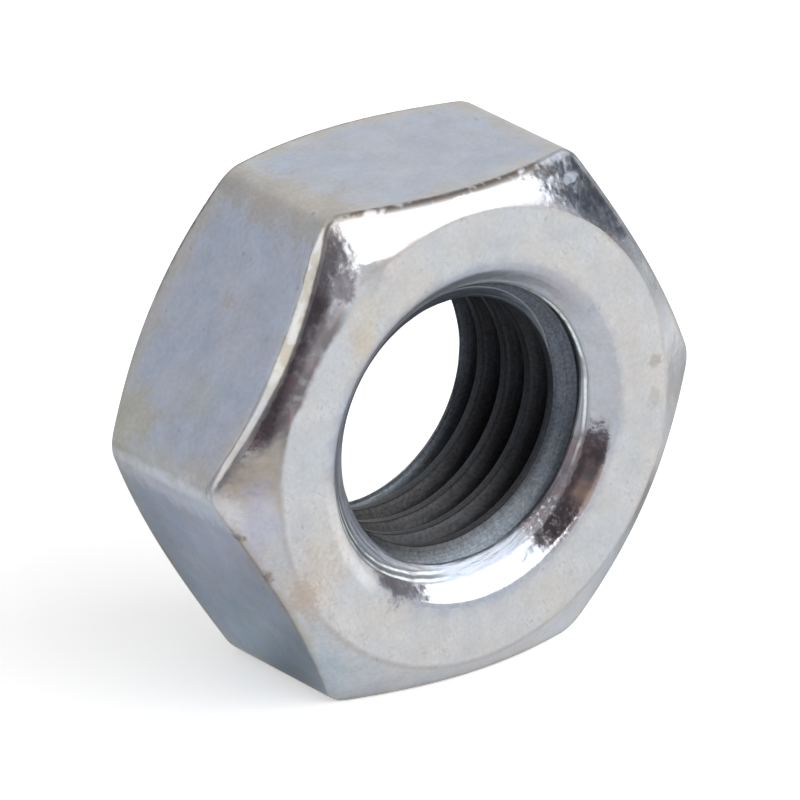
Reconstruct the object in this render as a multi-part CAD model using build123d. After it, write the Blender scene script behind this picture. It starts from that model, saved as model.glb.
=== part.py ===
"""Hexagon nut with a metric fine thread, cold-formed in one piece.

Millimetres. The nut stands on one of its flats: that flat lies at z = 0, the thread axis runs along
Y at half of across_flats, and the face that looks to the front is at y = -nut_height / 2.
It is built with the thread axis along Z, its mid height at z = 0, and stood up at the end.
"""
from math import ceil, cos, pi, radians, tan
import os

from build123d import *
from build123d.topology import SkipClean

# hexagon
sides = 6
across_flats = 17.0
nut_height = 8.0
corner_radius = 0.9

# both ends: how far the bearing face stays inside the flats, and the cone outside it
face_margin = 0.7
cone_slope = 34.0
flat_edge_r = 0.25

# thread, with the height at which its groove crosses the +X side
thread_d = 10.0
pitch = 1.25
flank_angle = 60.0
groove_height_at_x = 0.44

# countersink at both ends of the bore: how far it opens past the thread, and its rounded lip
sink_margin = 0.75
sink_angle = 90.0
sink_lip_r = 0.5

# how far a cutting body runs past the surface it cuts
overrun = 0.2

# sizes that follow from those above
side_angle = 360 / sides
corner_r = across_flats / 2 / cos(pi / sides)
face_r = across_flats / 2 - face_margin
half_flank = radians(flank_angle / 2)
sharp_depth = pitch / 2 / tan(half_flank)
thread_depth = sharp_depth * 5 / 8
root_width = pitch / 8
root_r = thread_d / 2
crest_r = root_r - thread_depth
core_r = crest_r - overrun
sink_r = root_r + sink_margin


def hexagon_prism():
    """Six flats, two of them square to Y, with rounded corners between them."""
    outline = RegularPolygon(across_flats / 2, sides, major_radius=False)
    prism = extrude(outline, nut_height / 2, both=True)
    return fillet(prism.edges().filter_by(Axis.Z), corner_radius)


def turned_ring():
    """The round form of the ends: countersink, its lip, the bearing face, and the cone outside."""
    end = nut_height / 2
    sink_depth = (sink_r - core_r) / tan(radians(sink_angle / 2))
    cone_depth = (corner_r - face_r) * tan(radians(cone_slope))
    upper = [
        (core_r, end - sink_depth),
        (sink_r, end),
        (face_r, end),
        (corner_r, end - cone_depth),
    ]
    lower = [(r, -z) for r, z in reversed(upper)]
    section = make_face(Polyline(upper + lower, close=True))
    lips = section.vertices().filter_by_position(Axis.X, sink_r - overrun, sink_r + overrun)
    section = fillet(lips, sink_lip_r)
    return revolve(Plane.XZ * section, Axis.Z)


def blank():
    """The hexagon with turned ends, its flats blended into the cones."""
    body = hexagon_prism() & turned_ring()
    ridges = body.edges().filter_by(
        lambda e: e.geom_type in (GeomType.HYPERBOLA, GeomType.BSPLINE)
    )
    return fillet(ridges, flat_edge_r)


def bore():
    """The hole inside the crests of the thread, in equal sectors, one to each flat."""
    length = nut_height + 2 * overrun
    on_axis = (Align.NONE, Align.NONE, Align.CENTER)
    sector = Cylinder(crest_r, length, arc_size=side_angle, align=on_axis)
    return [Rot(Z=side_angle * i) * sector for i in range(sides)]


def groove_turns():
    """The helical groove between the crests, turn by turn, running out past both ends of the bore."""
    mouth_width = root_width + 2 * (root_r - core_r) * tan(half_flank)
    count = ceil(nut_height / pitch) + 2
    start = groove_height_at_x - pitch * round(count / 2)
    corners = [
        (root_r, start - root_width / 2),
        (root_r, start + root_width / 2),
        (core_r, start + mouth_width / 2),
        (core_r, start - mouth_width / 2),
    ]
    section = Plane.XZ * make_face(Polyline(corners, close=True))
    path = Helix(pitch, pitch, root_r, center=(0, 0, start))
    turn = sweep(section, path=path, is_frenet=True)
    return [Pos(0, 0, pitch * i) * turn for i in range(count)]


def threaded_nut():
    """The blank, bored and threaded."""
    # the crest of the thread stays in sectors, so the faces aren't joined again after these cuts
    with SkipClean():
        return blank() - bore() - groove_turns()


nut = Pos(0, 0, across_flats / 2) * Rot(X=90) * threaded_nut()
os.makedirs("parts", exist_ok=True)
export_step(nut, "parts/hex_nut.step")
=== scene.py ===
import bpy
import bmesh
from math import atan2, ceil, cos, hypot, pi, radians, sin, tan
from types import SimpleNamespace
from mathutils import Matrix, Vector


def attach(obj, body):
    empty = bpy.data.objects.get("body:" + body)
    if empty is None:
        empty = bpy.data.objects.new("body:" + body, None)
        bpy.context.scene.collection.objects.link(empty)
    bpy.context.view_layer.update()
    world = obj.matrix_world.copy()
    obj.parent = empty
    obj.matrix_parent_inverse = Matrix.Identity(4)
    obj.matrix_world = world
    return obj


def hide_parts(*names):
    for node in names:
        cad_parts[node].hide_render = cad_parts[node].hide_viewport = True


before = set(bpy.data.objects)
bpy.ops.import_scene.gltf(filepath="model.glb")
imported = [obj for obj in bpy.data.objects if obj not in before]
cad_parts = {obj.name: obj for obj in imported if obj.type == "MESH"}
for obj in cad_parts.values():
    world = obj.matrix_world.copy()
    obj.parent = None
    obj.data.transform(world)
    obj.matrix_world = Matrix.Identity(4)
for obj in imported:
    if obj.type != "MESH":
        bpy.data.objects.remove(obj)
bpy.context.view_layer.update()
mm = 0.001                 # the nut is built in millimetres, the studio in metres


# hexagon nut: millimetres and degrees, thread axis along Z until it is stood up
nut = dict(
    corners=6,
    acrossFlats=17.0,
    height=8.0,
    cornerRadius=0.9,
    faceRadius=7.8,        # flat ring on each end
    coneSlope=34.0,        # outside the ring
    lipEdge=0.22,          # bevel of the countersink's lip
    lipRows=7,
    columns=300,           # round the axis
    crowding=0.5,          # how much closer the columns stand at the corners
    edgeRows=7,            # rows of a rounded edge, and how far apart they stand before shapeEdges
    rowStep=0.01,
    cuts=dict(flat=23, cone=7, ring=9, sink=2),
    leastCone=0.3, leastRing=1.0,      # narrower strips of these two get no cuts
    coneStart=0.5,         # how far outside the ring such a strip of the cone may begin
    seam=0.002,            # merges skin and bore
)

# rounded edges: how far the rounding reaches to both sides of the edge
# a stretch of an edge is its middle, half its width and its fade, in degrees round the nut
edges = dict(
    ring=0.16,
    crispRing=0.04, crispStretch=(68, 54, 12),
    softRing=1.0, softStretch=(137, 26, 14),
    flat=0.14,
    blunt=2.0,             # 2 rounds an edge, 1 cuts it straight
    worn=0.24, wornStretch=(150, 31, 10), wornBlunt=1.25,      # the front edge that is rubbed flat
    narrower=0.35, narrowStretch=(166, 18, 14),
    wornDrop=0.2, shallower=0.25, shallowStretch=(164, 16, 14),
)

thread = dict(
    pitch=1.25,
    crestRadius=4.323,
    rootRadius=5.0,
    grooveAtX=0.44,        # height of the groove on the +X side
    crestHalf=0.156,
    rootHalf=0.078,
    edge=0.03,
    edgeRows=2,
    spareTurns=2,          # past each end, before the countersinks cut them off
    leastRise=0.2,         # of an edge across a flank or a crest, which gets these cuts
    cuts=3,
    seam=0.001,            # merges the first column with the last
    sinkRadius=5.75,       # countersink, 90 degrees
    joinRadius=5.2,        # where the bore meets the outer skin
)


def polar(v):
    return atan2(v.co.y, v.co.x), hypot(v.co.x, v.co.y)


def near(a, b):
    return abs(a - b) < nut["rowStep"]


def blend(t, a, b):
    return a + (b - a) * t


def hexRadius(angle):
    flatHalf = pi / nut["corners"]
    fold = (angle + flatHalf) % (2 * flatHalf) - flatHalf      # 0 at a corner
    apothem, r = nut["acrossFlats"] / 2, nut["cornerRadius"]
    centre = (apothem - r) / cos(flatHalf)
    edgeAngle = atan2(r * sin(flatHalf), centre + r * cos(flatHalf))
    if abs(fold) < edgeAngle:
        return centre * cos(fold) + (r * r - (centre * sin(fold)) ** 2) ** 0.5
    return apothem / cos(flatHalf - abs(fold))


def sinkRadiusAt(height):
    return thread["sinkRadius"] - (nut["height"] / 2 - abs(height))


def sinkHeightAt(radius):
    return nut["height"] / 2 - (thread["sinkRadius"] - radius)


def makeChain(bm, points):
    verts = [bm.verts.new((r, 0, z)) for r, z in points]
    return verts + [bm.edges.new(pair) for pair in zip(verts, verts[1:])]


def crowdColumns(verts, rise):
    step = 2 * pi / nut["columns"]
    for v in verts:
        angle, r = polar(v)
        angle = round(angle / step) * step
        shift = -nut["crowding"] / nut["corners"] * sin(nut["corners"] * angle)
        v.co.x, v.co.y = r * cos(angle + shift), r * sin(angle + shift)
        v.co.z += rise * shift / (2 * pi)


def bevelEdges(bm, picked, width, rows):
    bmesh.ops.bevel(bm, geom=picked, offset=width, offset_type="OFFSET", affect="EDGES",
                    segments=rows, profile=0.5, material=-1, clamp_overlap=False)


def fadeAway(angle, stretch):
    middle, reach, fade = (radians(v) for v in stretch)
    off = abs((angle - middle + pi) % (2 * pi) - pi)
    t = min(1, max(0, (reach - off) / fade))
    return t * t * (3 - 2 * t)


def placeOnEdge(corner, start, end, reach, t, blunt):
    t = min(1, max(0, t))
    start = (start - corner).normalized() * reach
    end = (end - corner).normalized() * reach
    return corner + start * (1 - t) ** blunt + end * t ** blunt


def ringReach(angle):
    soft = blend(fadeAway(angle, edges["softStretch"]), edges["ring"], edges["softRing"])
    return blend(fadeAway(angle, edges["crispStretch"]), soft, edges["crispRing"])


def flatReach(angle, wear):
    worn = edges["worn"] * (1 - edges["narrower"] * fadeAway(angle, edges["narrowStretch"]))
    return blend(wear, edges["flat"], worn)


def shapeEdges(bm, crest):
    top, face = nut["height"] / 2, nut["faceRadius"]
    slope = tan(radians(nut["coneSlope"]))
    spread = nut["rowStep"] * (nut["edgeRows"] - 1)
    ring = Vector((face, top))
    for v in bm.verts:
        angle, r = polar(v)
        side = 1 if v.co.z > 0 else -1
        if r < face - spread:
            continue
        wear = fadeAway(angle, edges["wornStretch"]) if side > 0 else 0
        shallow = 1 - edges["shallower"] * fadeAway(angle, edges["shallowStretch"])
        drop = (hexRadius(angle) - face) * slope + edges["wornDrop"] * wear * shallow
        rim = Vector((hexRadius(angle), top - drop))
        if r < face + 2 * spread:
            t = (r - face) / spread                            # 0 on the ring, 1 on the cone
            reach = min(ringReach(angle), (rim - ring).length / 2)
            place = placeOnEdge(ring, Vector((0, top)), rim, reach, t, edges["blunt"])
        else:
            t = (abs(v.co.z) - crest) / spread + 1             # 0 on the flat, 1 on the cone
            blunt = blend(wear, edges["blunt"], edges["wornBlunt"])
            place = placeOnEdge(rim, rim - Vector((0, 1)), ring, flatReach(angle, wear), t, blunt)
        v.co = (place.x * cos(angle), place.x * sin(angle), side * place.y)


def onLip(v):
    return near(polar(v)[1], thread["sinkRadius"]) and near(abs(v.co.z), nut["height"] / 2)


def makeSkin(bm):
    top, face = nut["height"] / 2, nut["faceRadius"]
    wide = nut["acrossFlats"] / 2 / cos(pi / nut["corners"])
    crest = top - (wide - face) * tan(radians(nut["coneSlope"]))
    rows = [nut["rowStep"] * i for i in reversed(range(nut["edgeRows"]))]
    half = [(wide, crest - row) for row in rows]               # shapeEdges spreads these rows
    half += [(face + row, top) for row in rows]
    half += [(thread["sinkRadius"], top), (thread["joinRadius"], sinkHeightAt(thread["joinRadius"]))]
    chain = makeChain(bm, [(r, -z) for r, z in reversed(half)] + half)
    bmesh.ops.spin(bm, geom=chain, cent=(0, 0, 0), axis=(0, 0, 1), angle=2 * pi,
                   steps=nut["columns"], use_merge=True)
    crowdColumns(bm.verts, 0)
    shapeEdges(bm, crest)
    lip = [edge for edge in bm.edges if all(onLip(v) for v in edge.verts)]
    bevelEdges(bm, lip, nut["lipEdge"], nut["lipRows"])


def stripOf(edge):
    face, join = nut["faceRadius"], thread["joinRadius"]
    (r, z), (r2, z2) = sorted((polar(v)[1], v.co.z) for v in edge.verts)
    if r > face and z * z2 < 0:
        return "flat"
    if face - nut["rowStep"] < r < face + nut["coneStart"] and r2 - r > nut["leastCone"]:
        return "cone"
    if r < face and r2 - r > nut["leastRing"]:
        return "ring"
    if near(r, join) and join + nut["rowStep"] < r2 < thread["sinkRadius"]:
        return "sink"


def addRows(bm):
    for name, cuts in nut["cuts"].items():
        strip = [edge for edge in bm.edges if stripOf(edge) == name]
        bmesh.ops.subdivide_edges(bm, edges=strip, cuts=cuts)


def inBore(v):
    return polar(v)[1] < (thread["rootRadius"] + thread["joinRadius"]) / 2


def boreEdges(bm, least, most):        # the limits of their rise
    inside = [edge for edge in bm.edges if all(inBore(v) for v in edge.verts)]
    return [edge for edge in inside if least <= abs(edge.verts[0].co.z - edge.verts[1].co.z) < most]


def makeBore(bm):
    pitch, steps = thread["pitch"], nut["columns"]
    crest, root = thread["crestRadius"], thread["rootRadius"]
    joinHeight = sinkHeightAt(thread["joinRadius"])
    groove = [(crest, -pitch / 2 + thread["crestHalf"]), (root, -thread["rootHalf"]),
              (root, thread["rootHalf"]), (crest, pitch / 2 - thread["crestHalf"])]
    turns = ceil(joinHeight / pitch) + thread["spareTurns"]
    heights = [thread["grooveAtX"] + pitch * i for i in range(-turns, turns + 1)]
    chain = makeChain(bm, [(r, height + z) for height in heights for r, z in groove])
    bmesh.ops.spin(bm, geom=chain, cent=(0, 0, 0), axis=(0, 0, 1), dvec=(0, 0, pitch / steps),
                   angle=2 * pi, steps=steps, use_merge=False)
    bmesh.ops.remove_doubles(bm, verts=[v for v in bm.verts if inBore(v)], dist=thread["seam"])
    windings = [edge for edge in boreEdges(bm, 0, 2 * pitch / steps) if len(edge.link_faces) == 2]
    bevelEdges(bm, windings, thread["edge"], thread["edgeRows"])
    bmesh.ops.subdivide_edges(bm, edges=boreEdges(bm, thread["leastRise"], pitch), cuts=thread["cuts"])
    wall = [v for v in bm.verts if inBore(v)]
    crowdColumns(wall, pitch)
    for v in wall:                                             # runs out into the countersinks
        angle, r = polar(v)
        v.co.z = max(-joinHeight, min(joinHeight, v.co.z))
        r = max(r, sinkRadiusAt(v.co.z))
        v.co.x, v.co.y = r * cos(angle), r * sin(angle)


def makePiece(bm, name):
    mesh = bpy.data.meshes.new(name)
    bm.to_mesh(mesh)
    bm.free()
    piece = bpy.data.objects.new(name, mesh)
    bpy.context.collection.objects.link(piece)
    return piece


def makeNut():
    bm = bmesh.new()
    makeSkin(bm)
    addRows(bm)
    makeBore(bm)
    bmesh.ops.remove_doubles(bm, verts=bm.verts, dist=nut["seam"])
    bmesh.ops.recalc_face_normals(bm, faces=bm.faces)
    bmesh.ops.rotate(bm, verts=bm.verts, cent=(0, 0, 0), matrix=Matrix.Rotation(pi / 2, 3, "X"))
    bmesh.ops.translate(bm, verts=bm.verts, vec=(0, 0, nut["acrossFlats"] / 2))
    bmesh.ops.scale(bm, verts=bm.verts, vec=(mm, mm, mm))
    for face in bm.faces:
        face.smooth = True
    return makePiece(bm, "hexNut")


nutPiece = makeNut()
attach(nutPiece, "root")
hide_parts("hex_nut")
print("nut made")


class Nodes:
    def __init__(self, tree):
        self.tree = tree

    def add(self, kind, inputs=None, **settings):
        node = self.tree.nodes.new(kind)
        for key, value in settings.items():
            setattr(node, key, value)
        for key, value in (inputs or {}).items():
            self.set(node.inputs[key], value)
        return node

    def set(self, socket, value):
        if isinstance(value, bpy.types.NodeSocket):
            self.tree.links.new(value, socket)
        else:
            socket.default_value = value

    def calc(self, operation, *values, clamp=False):
        node = self.add("ShaderNodeMath", dict(enumerate(values)), operation=operation, use_clamp=clamp)
        return node.outputs[0]

    def times(self, product, *values):
        for value in values:
            product = self.calc("MULTIPLY", product, value)
        return product

    def scaled(self, value, factor, offset=0.0, clamp=False):
        return self.calc("MULTIPLY_ADD", value, factor, offset, clamp=clamp)

    def without(self, mask):
        return self.calc("SUBTRACT", 1.0, mask)

    def ramp(self, value, limits):                             # 0 at the first limit, 1 at the second
        inputs = {"Value": value, "From Min": limits[0], "From Max": limits[1]}
        return self.add("ShaderNodeMapRange", inputs, interpolation_type="SMOOTHSTEP").outputs["Result"]

    def mixColour(self, factor, a, b, blendType="MIX"):
        a, b = ((*v, 1) if isinstance(v, tuple) else v for v in (a, b))
        return self.add("ShaderNodeMix", {0: factor, 6: a, 7: b}, data_type="RGBA",
                        blend_type=blendType).outputs[2]

    def mixValue(self, factor, a, b):
        return self.add("ShaderNodeMix", {0: factor, 2: a, 3: b}, data_type="FLOAT").outputs[0]

    def combine(self, x, y, z):
        return self.add("ShaderNodeCombineXYZ", {0: x, 1: y, 2: z}).outputs[0]

    def grey(self, value):
        return self.add("ShaderNodeCombineColor", {0: value, 1: value, 2: value}).outputs[0]

    def grain(self, place, kind):
        size, detail, rough = kind
        inputs = {"Vector": place, "Scale": 1 / size, "Detail": detail, "Roughness": rough}
        return self.add("ShaderNodeTexNoise", inputs).outputs[0]


# noise in the plating: size in millimetres, detail and roughness
grains = dict(
    fine=(0.16, 3.0, 0.6), small=(0.42, 1.0, 0.5), middle=(0.9, 3.0, 0.55), broad=(2.2, 4.0, 0.5),
    scratches=(0.3, 3.0, 0.6), streaks=(0.4, 6.0, 0.75), lint=(0.11, 3.0, 0.7), marks=(0.13, 2.0, 0.5),
)
raggedness = 0.16          # millimetres that the borders between two looks wander


# n makes the nodes and m holds what they have measured, in millimetres from the nut's centre
# the gaps are how far a place is from the end, the cone, the countersink, the next flat and the next corner
def measure(n):
    top, slope = nut["height"] / 2, tan(radians(nut["coneSlope"]))
    flatHalf = pi / nut["corners"]
    m = SimpleNamespace()
    m.place = n.add("ShaderNodeMapping", {
        "Vector": n.add("ShaderNodeTexCoord").outputs["Object"], "Scale": (1 / mm, 1 / mm, 1 / mm),
        "Location": (0, 0, -nut["acrossFlats"] / 2)}).outputs[0]
    m.x, m.y, m.z = n.add("ShaderNodeSeparateXYZ", {0: m.place}).outputs
    m.radius = n.calc("SQRT", n.calc("ADD", n.times(m.x, m.x), n.times(m.z, m.z)))
    m.angle = n.calc("ARCTAN2", m.z, m.x)
    m.depth = n.calc("ABSOLUTE", m.y)
    m.fine, m.small = n.grain(m.place, grains["fine"]), n.grain(m.place, grains["small"])
    m.middle, m.broad = n.grain(m.place, grains["middle"]), n.grain(m.place, grains["broad"])
    m.ragged = n.scaled(m.small, raggedness, -raggedness / 2)
    fold = n.calc("PINGPONG", m.angle, flatHalf)
    m.cornerGap = n.times(m.radius, n.calc("SINE", fold))
    apothem = n.times(m.radius, n.calc("COSINE", n.calc("SUBTRACT", flatHalf, fold)))
    m.flatGap = n.calc("SUBTRACT", nut["acrossFlats"] / 2, apothem)
    m.faceGap = n.calc("SUBTRACT", top, m.depth)
    m.coneGap = n.scaled(m.radius, -slope, n.calc("ADD", m.faceGap, nut["faceRadius"] * slope))
    m.sinkGap = n.calc("SUBTRACT", n.calc("SUBTRACT", m.depth, m.radius), top - thread["sinkRadius"])
    return m


# a side is in degrees round the nut, as seen from the front: 0 is on the right, 90 at the top
# a reach is how nearly a place lies toward its side, up to 1, and patches and spots are values of the noise
def along(n, m, side):
    return n.scaled(m.x, cos(radians(side)), n.times(m.z, sin(radians(side))))


def toward(n, m, side):
    return n.calc("DIVIDE", along(n, m, side), m.radius)


# kinds of surface, each from where there is none of it to where there is only that, in millimetres
zones = dict(
    front=(-1.5, -2.0),            # along Y
    wornSide=150, wornFlat=(8.25, 8.35), besideWorn=(7.0, 7.5),
    wornWidth=(0.48, 0.40), wornTaper=0.09, taperHeight=(4.0, 1.5),
    flatFromCone=(0.06, 0.16), flatDepth=(0.28, 0.18),
    rimFromCone=(0.20, 0.04), rimDepth=(0.3, 0.05), rimRadius=(8.2, 8.4),
    faceDepth=(0.05, 0.005), faceRagged=0.2, lipDepth=(0.3, 0.12), lipRadius=(6.4, 6.2),
    sinkDepth=(-0.05, -0.02), sinkFloor=(5.2, 5.25), sinkEdge=(5.97, 5.85),
    leftSide=180, leftNarrower=0.22,
    tintEdge=(6.25, 5.7), tintRagged=3.0, threadEdge=(5.3, 5.2),
)


def findZones(n, m):
    onFront = n.ramp(m.y, zones["front"])
    gap = n.calc("ADD", m.coneGap, m.ragged)
    wornGap = n.scaled(n.ramp(m.z, zones["taperHeight"]), zones["wornTaper"], gap)
    m.toWorn = along(n, m, zones["wornSide"])
    m.onWorn = n.times(n.ramp(m.toWorn, zones["wornFlat"]), onFront, n.ramp(wornGap, zones["wornWidth"]))
    notWorn = n.without(m.onWorn)
    m.onFlat = n.times(n.ramp(gap, zones["flatFromCone"]), n.ramp(m.flatGap, zones["flatDepth"]), notWorn)
    m.onRim = n.times(n.ramp(gap, zones["rimFromCone"]), n.ramp(m.flatGap, zones["rimDepth"]),
                      n.ramp(m.radius, zones["rimRadius"]), notWorn)
    m.offFlats = n.without(n.calc("MAXIMUM", m.onFlat, m.onWorn))
    m.besideWorn = n.times(n.ramp(m.toWorn, zones["besideWorn"]), onFront, m.offFlats)
    level = n.ramp(n.scaled(m.ragged, -zones["faceRagged"], m.faceGap), zones["faceDepth"])
    onLip = n.times(n.ramp(m.radius, zones["lipRadius"]), n.ramp(m.faceGap, zones["lipDepth"]))
    m.onFace = n.calc("MAXIMUM", level, onLip)
    m.leftward = n.calc("MAXIMUM", toward(n, m, zones["leftSide"]), 0.0)
    m.inSink = n.calc("MAXIMUM", n.ramp(m.sinkGap, zones["sinkDepth"]), n.ramp(m.radius, zones["sinkFloor"]))
    reach = n.calc("ADD", n.scaled(m.leftward, zones["leftNarrower"], m.radius), m.ragged)
    m.onSink = n.times(n.ramp(reach, zones["sinkEdge"]), m.inSink)
    reach = n.scaled(m.ragged, zones["tintRagged"], m.radius)
    m.sinkTint = n.times(n.ramp(reach, zones["tintEdge"]), m.inSink)
    m.onThread = n.times(n.ramp(m.radius, zones["threadEdge"]), n.without(m.onSink))


# flats with a warm band along every edge, bright worn metal on the worn edge, and a painted dark reflection
# along the edges to the chamfers, darkest at the top
flats = dict(
    cones=(0.49, 0.495, 0.52), colour=(0.45, 0.477, 0.545),
    warm=(0.51, 0.485, 0.45), warmAmount=0.75, warmWidth=(1.2, 0.2), warmMottle=1.6, fromCone=1.3,
    worn=(0.47, 0.46, 0.45), dullWorn=(0.40, 0.37, 0.325), brightPatches=(0.92, 1.1),
    lowWorn=(0.38, 0.38, 0.395), lowHeight=(4.5, 2.5),
    # the rim colour is a painted dark reflection on the edges between flats and chamfers, fading to a warm
    # tint low down
    lowRim=(0.46, 0.43, 0.40), rim=(0.13, 0.11, 0.095), rimHeight=(3.0, 7.0), rimPatches=(0.28, 0.5),
)


def paintFlats(n, m):
    gap = n.calc("MINIMUM", n.times(m.coneGap, flats["fromCone"]), m.cornerGap)
    gap = n.calc("ADD", gap, n.scaled(m.middle, flats["warmMottle"], -flats["warmMottle"] / 2))
    colour = n.mixColour(m.onFlat, flats["cones"], flats["colour"])
    warm = n.times(n.ramp(gap, flats["warmWidth"]), m.onFlat, flats["warmAmount"])
    colour = n.mixColour(warm, colour, flats["warm"])
    bright = n.ramp(n.calc("ADD", m.small, m.middle), flats["brightPatches"])
    worn = n.mixColour(bright, flats["dullWorn"], flats["worn"])
    worn = n.mixColour(n.ramp(m.z, flats["lowHeight"]), worn, flats["lowWorn"])
    colour = n.mixColour(m.onWorn, colour, worn)
    # painted dark reflection along the rims, darker towards the top
    rim = n.mixColour(n.ramp(m.z, flats["rimHeight"]), flats["lowRim"], flats["rim"])
    return n.mixColour(n.times(m.onRim, n.ramp(m.small, flats["rimPatches"])), colour, rim)


# on the chamfer beside the worn flat a dark mottled patch, partly grime and partly painted dark reflection,
# faded at its lower end, and blotches at the upper right of painted dark reflection with painted highlights
chamfers = dict(
    # the grime colour is a painted dark reflection mottled with grime; the clean spots and plum are spots in
    # it
    grime=(0.215, 0.195, 0.205), cleanSpots=(0.40, 0.385, 0.42), coarse=0.75, spots=(0.45, 0.75),
    plum=(0.27, 0.195, 0.22), plumAmount=0.7, plumPatches=(0.45, 0.6), plumHeight=(5.2, 3.6),
    fromCorner=(1.0, 2.2),
    faded=(0.50, 0.46, 0.42), fadedDull=0.55,
    fadedX=(-6.4, -7.2), fadedZ=(-1.2, 0.4), fadedFront=(-2.0, -2.4), fadedRadius=(7.75, 8.0),
    fadedSide=134.1, fadedEnd=(7.106, 6.604), fadedRagged=2.153,
    # the blotches: painted dark reflection with pale spots of painted highlight
    darkBlotch=(0.38, 0.39, 0.45), paleBlotch=(0.58, 0.59, 0.64), blotchAmount=0.7,
    blotchSide=50, blotchReach=(0.93, 0.96), blotchSpots=(0.38, 0.66), blotchHeight=(4.6, 6.2),
)


def paintChamfers(n, m, colour):
    mottle = n.scaled(m.small, chamfers["coarse"], n.times(m.fine, 1 - chamfers["coarse"]))
    # the dark patch: mottled grime, darkened as a painted dark reflection
    m.grimy = n.mixColour(n.ramp(mottle, chamfers["spots"]), chamfers["grime"], chamfers["cleanSpots"])
    plum = n.times(n.ramp(m.middle, chamfers["plumPatches"]), n.ramp(m.z, chamfers["plumHeight"]))
    m.grimy = n.mixColour(n.times(plum, chamfers["plumAmount"]), m.grimy, chamfers["plum"])
    fromCorner = n.ramp(n.calc("ADD", m.cornerGap, m.ragged), chamfers["fromCorner"])
    colour = n.mixColour(n.times(m.besideWorn, fromCorner), colour, m.grimy)
    end = n.scaled(m.ragged, chamfers["fadedRagged"], along(n, m, chamfers["fadedSide"]))
    m.faded = n.times(n.ramp(m.x, chamfers["fadedX"]), n.ramp(m.z, chamfers["fadedZ"]),
                      n.ramp(end, chamfers["fadedEnd"]), n.ramp(m.radius, chamfers["fadedRadius"]),
                      n.ramp(m.y, chamfers["fadedFront"]), m.offFlats)
    colour = n.mixColour(m.faded, colour, chamfers["faded"])
    # blotches at the upper right: painted dark reflection and painted highlights
    here = n.ramp(toward(n, m, chamfers["blotchSide"]), chamfers["blotchReach"])
    here = n.times(here, n.without(m.onFlat))
    pale = n.times(n.ramp(mottle, chamfers["blotchSpots"]), n.ramp(m.z, chamfers["blotchHeight"]))
    m.paleBlotches = n.times(here, pale)
    blotches = n.mixColour(pale, chamfers["darkBlotch"], chamfers["paleBlotch"])
    return n.mixColour(n.times(here, chamfers["blotchAmount"]), colour, blotches)


# matt ring with fine scratches, and a stained line round its outer border
ring = dict(
    colour=(0.585, 0.585, 0.60),
    scratch=(0.38, 0.38, 0.40), scratchAmount=0.45, scratchSide=36.87, scratchLength=4,
    scratchWidth=(0.02, 0.008), scratchPatches=(0.5, 0.6),
    border=(0.40, 0.35, 0.33), borderAmount=0.5, borderOut=0.05, borderWidth=(0.17, 0.02),
    borderPatches=(0.35, 0.6), borderDepth=(3.0, 3.5),
)


def paintRing(n, m, colour):
    colour = n.mixColour(m.onFace, colour, ring["colour"])
    lengthwise = n.times(along(n, m, ring["scratchSide"] + 90), 1 / ring["scratchLength"])
    tilted = n.combine(along(n, m, ring["scratchSide"]), m.y, lengthwise)
    offLine = n.calc("ABSOLUTE", n.calc("SUBTRACT", n.grain(tilted, grains["scratches"]), 0.5))
    scratches = n.times(n.ramp(offLine, ring["scratchWidth"]), n.ramp(m.middle, ring["scratchPatches"]),
                        m.onFace, ring["scratchAmount"])
    colour = n.mixColour(scratches, colour, ring["scratch"])
    m.offBorder = n.calc("ABSOLUTE", n.calc("SUBTRACT", m.radius, nut["faceRadius"] + ring["borderOut"]))
    border = n.times(n.ramp(m.offBorder, ring["borderWidth"]), n.ramp(m.middle, ring["borderPatches"]),
                     n.ramp(m.depth, ring["borderDepth"]), ring["borderAmount"])
    return n.mixColour(border, colour, ring["border"])


# bright countersink, with painted shade by the mouth at the top, and at the lower right a patch partly of
# grime and partly of painted dark reflection
sink = dict(
    colour=(0.45, 0.465, 0.52), deep=(5.85, 5.7),
    # the mouth colour is painted shade on the upper half of the thread's mouth
    mouth=(0.12, 0.135, 0.165), mouthRadius=(5.15, 4.9), mouthHeight=(0.0, 2.0),
    # the patch at the lower right: mottled grime and painted dark reflection
    grimeSide=-37, grimeReach=(0.915, 0.95), grimeRagged=0.3, grimeAmount=0.8,
    tan=(0.40, 0.315, 0.28), tanSide=-32, tanReach=(0.993, 1.01), tanMottle=0.02,
    tanRadius=(5.15, 5.4), tanRagged=2.0, tanPatches=(0.3, 0.6),
    flecks=(0.62, 0.64, 0.64), fleckSide=-52, fleckReach=(0.975, 0.995), fleckSpots=(0.52, 0.64),
)


def paintSink(n, m, colour):
    deep = n.ramp(n.calc("ADD", m.radius, m.ragged), sink["deep"])
    # painted dark reflection with grime, deep in the countersink at the lower right
    toGrime = n.scaled(m.ragged, sink["grimeRagged"], toward(n, m, sink["grimeSide"]))
    grimy = n.ramp(toGrime, sink["grimeReach"])
    inner = n.mixColour(n.times(grimy, deep, sink["grimeAmount"]), sink["colour"], m.grimy)
    # painted shade by the mouth, in its upper half
    dark = n.times(n.ramp(m.radius, sink["mouthRadius"]), n.ramp(m.z, sink["mouthHeight"]))
    colour = n.mixColour(m.sinkTint, colour, sink["colour"])
    colour = n.mixColour(m.onSink, colour, n.mixColour(dark, inner, sink["mouth"]))
    toTan = n.scaled(m.middle, sink["tanMottle"], toward(n, m, sink["tanSide"]))
    outward = n.scaled(m.ragged, sink["tanRagged"], m.radius)
    m.tanned = n.times(n.ramp(toTan, sink["tanReach"]), n.ramp(outward, sink["tanRadius"]), deep)
    colour = n.mixColour(n.times(m.tanned, n.ramp(m.small, sink["tanPatches"])), colour, sink["tan"])
    flecks = n.ramp(toward(n, m, sink["fleckSide"]), sink["fleckReach"])
    return n.mixColour(n.times(flecks, deep, n.ramp(m.fine, sink["fleckSpots"])), colour, sink["flecks"])
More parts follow.
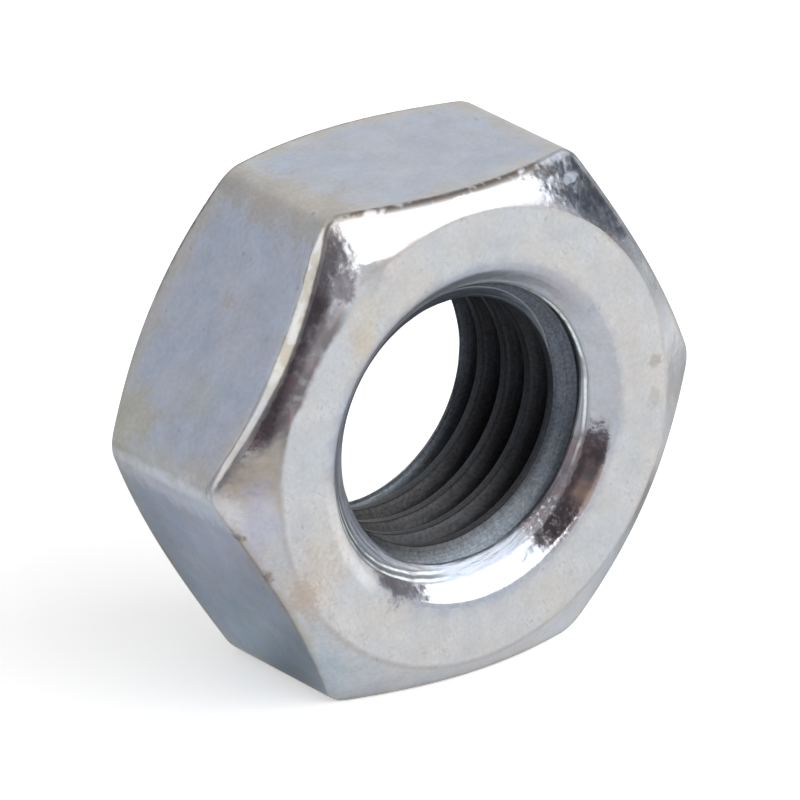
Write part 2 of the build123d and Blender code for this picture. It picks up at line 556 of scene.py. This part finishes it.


# burrs where the thread runs out at the right and at the lower left: painted highlights in lines round the
# mouth, with painted shade in the lines between them
# outside them, on the left, the countersink is as dull and pale as the ring
burrs = dict(
    # the burr colour is a painted highlight; the under colour is painted shade between the burrs
    colour=(0.82, 0.88, 0.88), patches=(0.3, 0.55), under=(0.14, 0.16, 0.17), underAmount=0.7,
    radius=5.04, leftWider=0.5, mottle=0.1, depth=(3.0, 3.1),
    spacing=0.19, line=(0.2, 0.8), gap=(0.2, -0.5),            # the last two of a wave between -1 and 1
    leftSide=-135, leftReach=(0.76, 0.88), leftIn=0.1, leftWidth=(0.24, 0.12),
    rightSide=20, rightReach=(0.6, 0.9), rightWidth=(0.09, 0.04),
    pale=(0.70, 0.70, 0.72), paleSide=-155, paleReach=(0.90, 0.97), paleOut=(0.02, 0.12),
    paleRadius=(6.2, 6.0),
)


def findBurrs(n, m):
    winding = n.scaled(n.times(m.leftward, m.leftward), burrs["leftWider"], burrs["radius"])
    off = n.scaled(m.middle, burrs["mottle"], n.calc("SUBTRACT", m.radius, winding))
    off = n.calc("SUBTRACT", off, burrs["mottle"] / 2)
    m.lowLeft = toward(n, m, burrs["leftSide"])
    inLeft = n.calc("ABSOLUTE", n.calc("ADD", off, burrs["leftIn"]))
    left = n.times(n.ramp(m.lowLeft, burrs["leftReach"]), n.ramp(inLeft, burrs["leftWidth"]))
    right = n.times(n.ramp(toward(n, m, burrs["rightSide"]), burrs["rightReach"]),
                    n.ramp(n.calc("ABSOLUTE", off), burrs["rightWidth"]))
    here = n.times(n.ramp(m.depth, burrs["depth"]), n.calc("MAXIMUM", left, right))
    wave = n.calc("COSINE", n.times(off, 2 * pi / burrs["spacing"]))
    # painted highlights in lines round the mouth, and painted shade between them
    m.burr = n.times(here, n.ramp(wave, burrs["line"]))
    m.underBurr = n.times(here, n.ramp(wave, burrs["gap"]))
    m.pale = n.times(n.ramp(toward(n, m, burrs["paleSide"]), burrs["paleReach"]), m.inSink,
                     n.ramp(off, burrs["paleOut"]), n.ramp(m.radius, burrs["paleRadius"]))


# where the plating is discoloured, and a few painted reflections marked below: millimetres from the nut's
# centre, and reach along each axis
stains = (
    dict(at=(7.33, -4.0, 0.82), reach=(0.28, 0.5, 0.24), colour=(0.34, 0.31, 0.25), strength=0.45),
    dict(at=(7.30, -4.0, -0.41), reach=(0.25, 0.5, 0.32), colour=(0.40, 0.37, 0.31), strength=0.3),
    dict(at=(-4.4, -4.0, 5.1), reach=(0.7, 0.6, 1.1), colour=(0.62, 0.54, 0.44), strength=0.6),
    dict(at=(-6.7, -3.9, -3.4), reach=(1.1, 0.9, 1.5), colour=(0.54, 0.49, 0.45), strength=0.5),
    dict(at=(-6.9, -3.9, -3.9), reach=(0.7, 0.8, 0.8), colour=(0.46, 0.38, 0.33), strength=0.6),
    dict(at=(-8.4, -3.6, -0.7), reach=(0.7, 0.6, 1.3), colour=(0.50, 0.49, 0.60), strength=0.6),
    dict(at=(-3.15, -3.65, -4.5), reach=(1.2, 0.35, 0.8), colour=(0.12, 0.11, 0.13), strength=0.7, dull=0.15),
    # a near-black band along the top edge at the upper right: painted dark reflection with brown mottling
    dict(at=(3.7, -3.4, 8.22), reach=(1.2, 0.4, 0.26), colour=(0.055, 0.045, 0.04), strength=0.8, dull=0.3),
    # a light blue patch at the upper right: painted reflection of a bright thing
    dict(at=(4.45, -3.3, 7.72), reach=(0.5, 0.4, 0.15), colour=(0.55, 0.61, 0.73), strength=0.7, dull=0.7),
    # a dark patch at the upper left of the chamfer: painted dark reflection where a highlight would be
    dict(at=(-5.1, -3.7, 6.5), reach=(0.55, 0.5, 0.7), colour=(0.17, 0.155, 0.175), strength=0.85, dull=0.6),
    # dark blue round the light blue patch: painted dark reflection
    dict(at=(4.55, -3.6, 6.9), reach=(0.5, 0.5, 0.5), colour=(0.34, 0.38, 0.52), strength=0.5),
    dict(at=(-8.9, -1.0, -2.4), reach=(1.6, 3.5, 2.2), colour=(0.455, 0.445, 0.55), strength=0.45),
    dict(at=(-6.0, -1.0, -6.8), reach=(1.6, 4.0, 2.0), colour=(0.37, 0.465, 0.54), strength=0.5),
    dict(at=(-8.93, -3.15, -1.46), reach=(0.3, 0.3, 0.2), colour=(0.22, 0.20, 0.19), strength=0.8),
    dict(at=(-8.07, -3.47, -2.91), reach=(0.2, 0.2, 0.25), colour=(0.24, 0.22, 0.22), strength=0.8),
    dict(at=(-5.0, -0.5, 8.3), reach=(1.3, 4.5, 1.0), colour=(0.46, 0.43, 0.40), strength=0.7),
    dict(at=(-9.1, 2.3, 0.9), reach=(0.8, 1.3, 1.3), colour=(0.50, 0.48, 0.38), strength=0.65),
    dict(at=(-8.4, -0.6, 2.3), reach=(0.6, 0.7, 1.6), colour=(0.49, 0.48, 0.42), strength=0.45),
    dict(at=(-6.8, 0.1, 5.2), reach=(0.4, 0.45, 0.3), colour=(0.42, 0.38, 0.34), strength=0.45),
    # a light lilac band along the lower-left corner: painted highlight
    dict(at=(-9.4, -0.8, -0.6), reach=(0.7, 4.0, 0.85), colour=(0.70, 0.70, 0.75), strength=0.7),
)
stainMottle = dict(middle=1.2, small=1.0, fine=1.6)
stainFade = (1.25, 0.45)               # as shares of the reach


def paintStains(n, m, colour):
    spread = -sum(stainMottle.values()) / 2
    for name, amount in stainMottle.items():
        spread = n.scaled(getattr(m, name), amount, spread)
    m.dull = n.times(m.faded, chamfers["fadedDull"])
    for stain in stains:
        away = n.add("ShaderNodeVectorMath", {0: m.place, 1: stain["at"]}, operation="SUBTRACT").outputs[0]
        away = n.add("ShaderNodeVectorMath", {0: away, 1: stain["reach"]}, operation="DIVIDE").outputs[0]
        away = n.add("ShaderNodeVectorMath", {0: away}, operation="LENGTH").outputs["Value"]
        mask = n.times(n.ramp(n.calc("ADD", away, spread), stainFade), stain["strength"])
        colour = n.mixColour(mask, colour, stain["colour"])
        if "dull" in stain:
            m.dull = n.calc("MAXIMUM", m.dull, n.times(mask, stain["dull"]))
    return colour


# thread streaked along its turns; its dark colour is painted shade inside the bore, deepest in the grooves,
# and its lighter crests, mouth and lower turns are painted light
threadLook = dict(
    # grooves and crests: painted shade inside the bore, darker in the grooves
    grooves=(0.028, 0.028, 0.032), crests=(0.054, 0.057, 0.065), crestPhase=(-0.2, -0.9), crestAmount=0.4,
    streakRound=2.0, streakDepth=0.35, streakContrast=2.8, streakLevel=-1.15,
    # the lower grooves: painted light
    lowGrooves=(0.13, 0.128, 0.13), lowAmount=0.3, lowHeight=(-1.0, -4.0),
    # the mouth colours: painted light near the bore's ends, lighter still low down
    mouth=(0.12, 0.135, 0.165), lowMouth=(0.25, 0.285, 0.325), mouthDepth=(2.1, 2.6), mouthStreaks=(0.1, 0.6),
    lintContrast=2.3, lintLevel=-0.15, lintAmount=0.7,
)


def paintThread(n, m, colour):
    look, pitch = threadLook, thread["pitch"]
    turn = n.calc("SUBTRACT", n.times(m.y, -2 * pi / pitch), m.angle)
    helix = n.combine(n.times(n.calc("COSINE", turn), look["streakRound"]),
                      n.times(n.calc("SINE", turn), look["streakRound"]), n.times(m.y, look["streakDepth"]))
    streaks = n.grain(helix, grains["streaks"])
    phase = n.calc("COSINE", n.calc("SUBTRACT", turn, 2 * pi * thread["grooveAtX"] / pitch))
    crest = n.scaled(n.ramp(phase, look["crestPhase"]), look["crestAmount"],
                     n.scaled(streaks, look["streakContrast"], look["streakLevel"]), clamp=True)
    low = n.ramp(m.z, look["lowHeight"])
    # painted shade of the bore, darker in the grooves than on the crests
    bore = n.mixColour(crest, look["grooves"], look["crests"])
    # painted light low down
    bore = n.mixColour(n.times(low, look["lowAmount"]), bore, look["lowGrooves"])
    # painted light by the mouth
    mouth = n.times(n.ramp(m.depth, look["mouthDepth"]), n.ramp(streaks, look["mouthStreaks"]))
    bore = n.mixColour(mouth, bore, n.mixColour(low, look["mouth"], look["lowMouth"]))
    lint = n.scaled(n.grain(m.place, grains["lint"]), look["lintContrast"], look["lintLevel"])
    bore = n.mixColour(look["lintAmount"], bore, n.grey(lint), "MULTIPLY")
    colour = n.mixColour(m.onThread, colour, bore)
    # painted shade between the burrs, then painted highlights on them
    colour = n.mixColour(n.times(m.underBurr, burrs["underAmount"]), colour, burrs["under"])
    return n.mixColour(n.times(m.burr, n.ramp(m.middle, burrs["patches"])), colour, burrs["colour"])


# faint cold and warm clouds, as thin plating shows, then grain and dark specks
clouds = dict(
    cold=(0.90, 0.96, 1.0), warm=(1.0, 0.97, 0.92), limits=(0.35, 0.65), amount=0.75,
    grain=0.34, shade=0.65, specks=(0.74, 0.80), speckDepth=0.18,
)


def paintClouds(n, m, colour):
    node = n.add("ShaderNodeValToRGB", {0: m.broad})
    tints = clouds["cold"], clouds["warm"]
    for element, position, tint in zip(node.color_ramp.elements, clouds["limits"], tints):
        element.position, element.color = position, (*tint, 1)
    colour = n.mixColour(clouds["amount"], colour, node.outputs[0], "MULTIPLY")
    shade = n.scaled(m.fine, clouds["grain"], n.scaled(m.middle, clouds["grain"], clouds["shade"]))
    shade = n.times(shade, n.scaled(n.ramp(m.small, clouds["specks"]), -clouds["speckDepth"], 1.0))
    return n.mixColour(1.0, colour, n.grey(shade), "MULTIPLY")


# roughness of each surface; the countersink was rubbed least at its upper left
finish = dict(
    flats=0.42, faces=0.45, cones=0.13, dullCones=0.34, grimy=0.22, blotches=0.19,
    rim=0.5, worn=0.34, sink=0.15, worstSink=0.42, mouth=0.5, tan=0.38, pale=0.6, stains=0.6,
    thread=0.5, burrs=0.55, grain=0.12,
    polishedSide=107, polished=(0.2, 1.6),     # the cones are polished on this side only
    ringSide=(0.3, 0.05),                      # and dull again next to the ring
    softRing=(0.45, 0.15), softReach=(0.86, 0.95),
    unrubbedSide=121, unrubbed=(-1.286, 2.144), dullReach=(0.90, 0.96),
    mouthRadius=(5.20, 5.09), mouthRagged=0.8,
)


def findRoughness(n, m):
    polished = n.ramp(along(n, m, finish["polishedSide"]), finish["polished"])
    unrubbed = n.ramp(along(n, m, finish["unrubbedSide"]), finish["unrubbed"])
    softRing = n.times(n.ramp(n.calc("DIVIDE", m.toWorn, m.radius), finish["softReach"]),
                       n.ramp(m.offBorder, finish["softRing"]))
    # dull by the thread's mouth, where a polished edge would mirror the dark bore
    byMouth = n.ramp(n.scaled(m.ragged, finish["mouthRagged"], m.radius), finish["mouthRadius"])
    rough = n.mixValue(m.besideWorn, finish["cones"], finish["grimy"])
    rough = n.mixValue(polished, finish["dullCones"], rough)
    for mask, value in (
        (n.ramp(m.faceGap, finish["ringSide"]), finish["dullCones"]),
        (m.paleBlotches, finish["blotches"]),
        (m.onFlat, finish["flats"]),
        (m.onRim, finish["rim"]),
        (softRing, finish["flats"]),
        (m.onWorn, finish["worn"]),
        (m.onFace, finish["faces"]),
        (m.onSink, n.mixValue(unrubbed, finish["sink"], finish["worstSink"])),
        (n.times(n.ramp(m.lowLeft, finish["dullReach"]), m.onSink), finish["dullCones"]),
        (n.times(byMouth, m.onSink), finish["mouth"]),
        (m.tanned, finish["tan"]),
        (m.pale, finish["pale"]),
        (m.dull, finish["stains"]),
        (m.onThread, finish["thread"]),
        (n.calc("MAXIMUM", m.burr, m.underBurr), finish["burrs"]),
    ):
        rough = n.mixValue(mask, rough, value)
    return n.calc("ADD", rough, n.scaled(m.fine, finish["grain"], -finish["grain"] / 2))


# relief in millimetres: dents, deepest on the cones by the corners, and turning marks round the countersink
relief = dict(
    fine=0.003, middle=0.016, small=0.004, dents=0.018, dentWidth=(2.6, 1.2),
    marks=0.05, markLength=0.5, markRadius=(5.3, 4.9),
)


def findRelief(n, m):
    dents = n.without(n.calc("MAXIMUM", m.onFlat, m.onFace))
    dents = n.times(dents, n.ramp(m.cornerGap, relief["dentWidth"]))
    height = n.scaled(m.fine, relief["fine"], n.times(m.middle, relief["middle"]))
    height = n.calc("ADD", height, n.times(m.small, n.scaled(dents, relief["dents"], relief["small"])))
    rings = n.combine(m.radius, n.times(n.calc("COSINE", m.angle), relief["markLength"]),
                      n.times(n.calc("SINE", m.angle), relief["markLength"]))
    marks = n.times(n.grain(rings, grains["marks"]), m.onSink, n.ramp(m.radius, relief["markRadius"]))
    height = n.scaled(marks, relief["marks"], height)
    return n.add("ShaderNodeBump", {"Height": height, "Distance": mm, "Strength": 1.0}).outputs[0]


def makeZinc():
    material = bpy.data.materials.new("zincPlating")
    material.use_nodes = True
    n = Nodes(material.node_tree)
    m = measure(n)
    findZones(n, m)
    findBurrs(n, m)
    colour = paintFlats(n, m)
    colour = paintChamfers(n, m, colour)
    colour = paintRing(n, m, colour)
    colour = paintSink(n, m, colour)
    colour = n.mixColour(m.pale, colour, burrs["pale"])
    colour = paintStains(n, m, colour)
    colour = paintThread(n, m, colour)
    colour = paintClouds(n, m, colour)
    shader = material.node_tree.nodes["Principled BSDF"]
    n.set(shader.inputs["Metallic"], 1)
    n.set(shader.inputs["Base Color"], colour)
    n.set(shader.inputs["Roughness"], findRoughness(n, m))
    n.set(shader.inputs["Normal"], findRelief(n, m))
    return material


nutPiece.data.materials.append(makeZinc())
print("zinc made")


# studio: azimuth 0 is in front of the nut (-Y), 90 on its right (+X); metres and degrees
studio = dict(
    floorSize=2.0, floorColour=(0.95, 0.95, 0.95),
    floorLift=0.15,        # how much lighter the floor is in reflections
    cameraLift=0.35,       # and to the camera, where it ends up white but for the shadow
    skyLevel=0.5,
    softboxes=(
        dict(name="frontSoftbox", azimuth=31, elevation=42, distance=0.62, width=1.12, height=0.42,
             level=2.25, colour=(1, 1, 1)),
        dict(name="leftSoftbox", azimuth=-88, elevation=28, distance=0.62, width=0.42, height=0.34,
             level=1.2, colour=(1, 0.97, 0.92)),
    ),
    cards=(                # upright, seen in reflections only
        dict(name="cameraCard", azimuth=-40, elevation=27, distance=0.6, width=0.62, height=0.85,
             level=0.2, colour=(1, 0.86, 0.92)),
        dict(name="sideCard", azimuth=93, elevation=9, distance=0.6, width=0.56, height=0.42,
             level=0.2, colour=(0.8, 0.88, 1)),
        dict(name="backCard", azimuth=-150, elevation=20, distance=0.6, width=0.55, height=0.5,
             level=0.72, colour=(0.90, 0.92, 1)),
    ),
    sheets=(               # lying just above the floor, seen in reflections only
        dict(name="cameraSheet", azimuth=-28, near=0.054, far=0.6, nearWidth=0.03, farWidth=0.75,
             level=0.2, colour=(1, 0.86, 0.92)),
        # painted shade: a grey sheet on the floor behind the nut, where it shades the floor, darkening the
        # floor in reflections
        dict(name="backSheet", azimuth=180, near=-0.0025, far=0.1, nearWidth=0.09, farWidth=0.16,
             level=0.52, colour=(0.87, 0.93, 1)),
        dict(name="sideSheet", azimuth=105, near=0.014, far=0.55, nearWidth=0.03, farWidth=0.5,
             level=0.9, colour=(1, 1, 1)),
    ),
    sheetHeight=0.0002,
    patches=(0.025, 3.0, 0.6), patchEdge=(0.42, 0.66), patchLevels=(0.3, 2.3),     # of cards and sheets
)
nutCentre = Vector((0, 0, nut["acrossFlats"] / 2 * mm))


def spot(item):
    azimuth, elevation = radians(item["azimuth"]), radians(item["elevation"])
    away = Vector((sin(azimuth) * cos(elevation), -cos(azimuth) * cos(elevation), sin(elevation)))
    turn = away.to_track_quat("Z", "Y").to_matrix().to_4x4()
    return Matrix.Translation(nutCentre + away * item["distance"]) @ turn


def emptyMaterial(name):
    material = bpy.data.materials.new(name)
    material.use_nodes = True
    material.node_tree.nodes.clear()
    return material, Nodes(material.node_tree)


def glow(item):
    material, n = emptyMaterial(item["name"])
    patches = n.grain(n.add("ShaderNodeTexCoord").outputs["Object"], studio["patches"])
    darkest, brightest = studio["patchLevels"]
    uneven = n.scaled(n.ramp(patches, studio["patchEdge"]), brightest - darkest, darkest)
    strength = n.times(uneven, item["level"])
    emission = n.add("ShaderNodeEmission", {"Color": (*item["colour"], 1), "Strength": strength})
    n.add("ShaderNodeOutputMaterial", {"Surface": emission.outputs[0]})
    return material


def newSquare(size):
    bm = bmesh.new()
    bmesh.ops.create_grid(bm, x_segments=1, y_segments=1, size=size / 2)
    return bm


def makeCard(item):
    bm = newSquare(1)
    if "near" in item:
        for v in bm.verts:                                     # narrow end by the nut
            end = "near" if v.co.y > 0 else "far"
            v.co = (v.co.x * item[end + "Width"], -item[end], studio["sheetHeight"])
        turn = Matrix.Rotation(radians(item["azimuth"]), 4, "Z")
    else:
        bmesh.ops.scale(bm, verts=bm.verts, vec=(item["width"], item["height"], 1))
        turn = spot(item)
    bmesh.ops.transform(bm, matrix=turn, verts=bm.verts)
    card = makePiece(bm, item["name"])
    card.data.materials.append(glow(item))
    card.visible_camera = card.visible_diffuse = card.visible_shadow = card.visible_transmission = False


def makeFloor():
    floor = makePiece(newSquare(studio["floorSize"]), "floor")
    material, n = emptyMaterial("paleFloor")
    matt = n.add("ShaderNodeBsdfDiffuse", {"Color": (*studio["floorColour"], 1)})
    ray = n.add("ShaderNodeLightPath").outputs
    lift = n.calc("MAXIMUM", n.times(ray["Is Camera Ray"], studio["cameraLift"]),
                  n.times(ray["Is Glossy Ray"], studio["floorLift"]))
    emission = n.add("ShaderNodeEmission", {"Strength": lift})
    both = n.add("ShaderNodeAddShader", {0: matt.outputs[0], 1: emission.outputs[0]})
    n.add("ShaderNodeOutputMaterial", {"Surface": both.outputs[0]})
    floor.data.materials.append(material)


def makeSoftbox(item):
    light = bpy.data.lights.new(item["name"], "AREA")
    light.shape = "RECTANGLE"
    light.size, light.size_y = item["width"], item["height"]
    light.color = item["colour"]
    light.energy = item["level"] * pi * item["width"] * item["height"]
    lamp = bpy.data.objects.new(item["name"], light)
    bpy.context.collection.objects.link(lamp)
    lamp.matrix_world = spot(item)
    lamp.visible_camera = False


def makeSky():
    world = bpy.data.worlds.new("studioSky")
    bpy.context.scene.world = world
    world.use_nodes = True
    world.node_tree.nodes.clear()
    n = Nodes(world.node_tree)
    ray = n.add("ShaderNodeLightPath").outputs
    seen = n.calc("MAXIMUM", ray["Is Glossy Ray"], ray["Is Transmission Ray"])
    seen = n.calc("MAXIMUM", ray["Is Camera Ray"], seen)
    soft = n.add("ShaderNodeBackground", {"Color": (1, 1, 1, 1), "Strength": studio["skyLevel"]})
    plain = n.add("ShaderNodeBackground", {"Color": (1, 1, 1, 1), "Strength": 1.0})
    mix = n.add("ShaderNodeMixShader", {0: seen, 1: soft.outputs[0], 2: plain.outputs[0]})
    n.add("ShaderNodeOutputWorld", {"Surface": mix.outputs[0]})


makeFloor()
makeSky()
for item in studio["softboxes"]:
    makeSoftbox(item)
for item in studio["cards"] + studio["sheets"]:
    makeCard(item)
print("studio made")


# camera: metres, degrees and, for lens and sensor, millimetres
# right and up move it sideways, after it was aimed at the nut's centre
view = dict(
    azimuth=-37.03, elevation=22.86, distance=0.464, right=-0.000045, up=-0.000006, roll=-0.45,
    lens=643, sensor=36, near=0.01, far=5,
)


def makeCamera():
    camera = bpy.data.cameras.new("camera")
    camera.lens = view["lens"]
    camera.sensor_width = view["sensor"]
    camera.clip_start, camera.clip_end = view["near"], view["far"]
    holder = bpy.data.objects.new("camera", camera)
    bpy.context.collection.objects.link(holder)
    shift = Matrix.Translation((view["right"], view["up"], 0))
    holder.matrix_world = spot(view) @ shift @ Matrix.Rotation(radians(view["roll"]), 4, "Z")
    bpy.context.scene.camera = holder


makeCamera()
bpy.context.scene.view_settings.view_transform = "Standard"

print("camera made")
